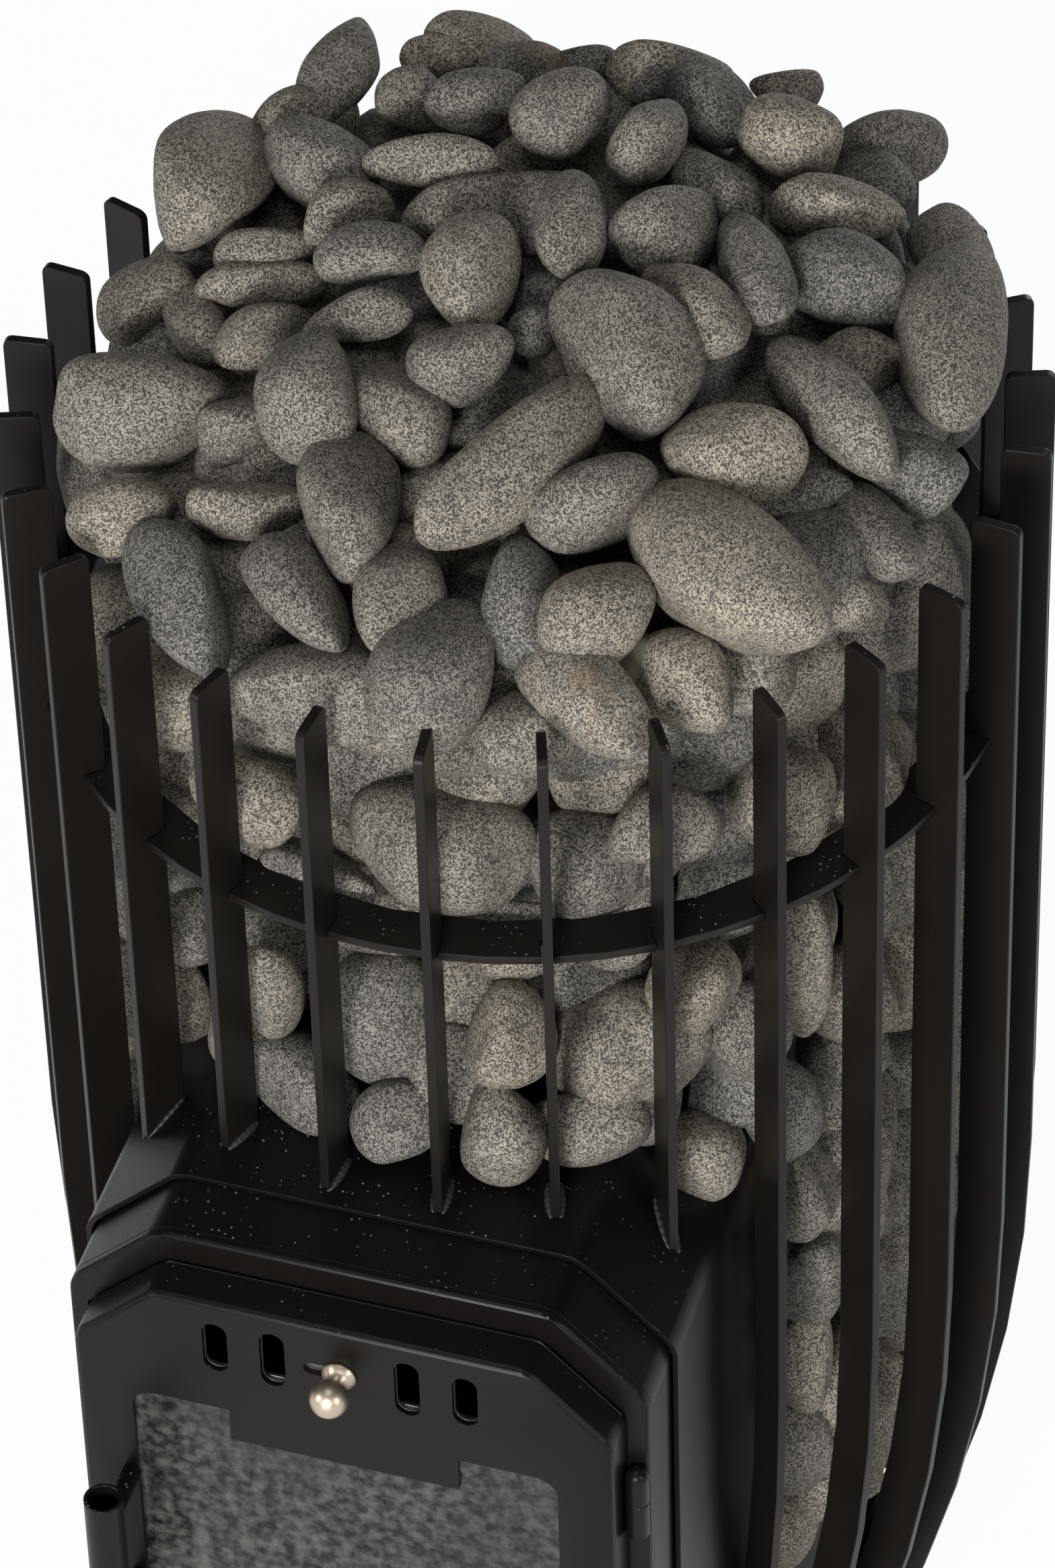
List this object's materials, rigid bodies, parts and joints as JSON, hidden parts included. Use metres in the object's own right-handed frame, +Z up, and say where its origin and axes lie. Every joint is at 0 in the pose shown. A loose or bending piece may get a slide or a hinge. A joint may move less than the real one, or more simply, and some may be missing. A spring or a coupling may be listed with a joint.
{
  "type": "sauna heater stove",
  "caption": "Round wood-burning sauna stove: a cage of standing flat bars full of stones round a firebox, with a chamfered tunnel to a glazed hinged door.",
  "frame": {"origin": "on the floor at the axis of the round cage, centre of the base plate's underside", "axes": "+Z up, the door faces -Y, the flue leaves along +Y, the door's hinges are at +X"},
  "size_m": [0.5212, 0.7031, 0.9472],
  "materials": {
    "cage_paint": "satin black heat-proof paint",
    "black_paint": "satin black heat-proof paint",
    "fire_iron": "dull dark",
    "plain_steel": "plain",
    "nickel": "satin, pale",
    "handle": "satin black",
    "glass": "dark heat-proof",
    "rope": "woven rope",
    "stones": "rough speckled"
  },
  "bodies": {
    "stove": {"bar_05": "cage_paint", "bar_06": "cage_paint", "bar_07": "cage_paint", "bar_08": "cage_paint", "bar_09": "cage_paint", "bar_10": "cage_paint", "bar_11": "cage_paint", "bar_12": "cage_paint", "bar_13": "cage_paint", "bar_16": "cage_paint", "bar_17": "cage_paint", "bar_18": "cage_paint", "bar_19": "cage_paint", "bar_20": "cage_paint", "bar_21": "cage_paint", "bar_22": "cage_paint", "bar_23": "cage_paint", "bar_24": "cage_paint", "bar_rear_lower_14": "cage_paint", "bar_rear_lower_15": "cage_paint", "bar_rear_upper_14": "cage_paint", "bar_rear_upper_15": "cage_paint", "bar_short_01": "cage_paint", "bar_short_02": "cage_paint", "bar_short_03": "cage_paint", "bar_short_04": "cage_paint", "bar_short_25": "cage_paint", "bar_short_26": "cage_paint", "bar_short_27": "cage_paint", "bar_short_28": "cage_paint", "base_plate": "black_paint", "door_frame": "black_paint", "fire_grate": "fire_iron", "firebox_crown": "fire_iron", "firebox_neck": "black_paint", "firebox_shell": "fire_iron", "flue_collar": "black_paint", "hearth_plate": "fire_iron", "hinge_lower_frame_knuckle": "black_paint", "hinge_upper_frame_knuckle": "black_paint", "smoke_baffle": "fire_iron", "stones_heap": "stones", "stones_left": "stones", "stones_right": "stones", "tie_ring": "cage_paint", "tunnel_sleeve": "black_paint"},
    "door": {"door_glass": "glass", "door_handle": "handle", "door_panel": "black_paint", "door_seal": "rope", "glass_retainer": "plain_steel", "handle_arm_lower": "black_paint", "handle_arm_upper": "black_paint", "hinge_lower_door_knuckle": "black_paint", "hinge_upper_door_knuckle": "black_paint", "slider_guide_lower": "plain_steel", "slider_guide_upper": "plain_steel"},
    "air_slide": {"air_slider": "plain_steel", "air_knob": "nickel"},
    "ash_tray": {"ash_drawer": "black_paint"}
  },
  "joints": [
    {"name": "door_hinge", "type": "hinge", "parent": "stove", "child": "door", "pos_m": [0.1468, -0.3138, 0.35], "axis": [0, 0, 1], "range_deg": [0, 110]},
    {"name": "air_slide", "type": "slide", "parent": "door", "child": "air_slide", "axis": [-1, 0, 0], "range_m": [0, 0.015]},
    {"name": "ash_drawer_slide", "type": "slide", "parent": "stove", "child": "ash_tray", "axis": [0, -1, 0], "range_m": [0, 0.2]}
  ]
}
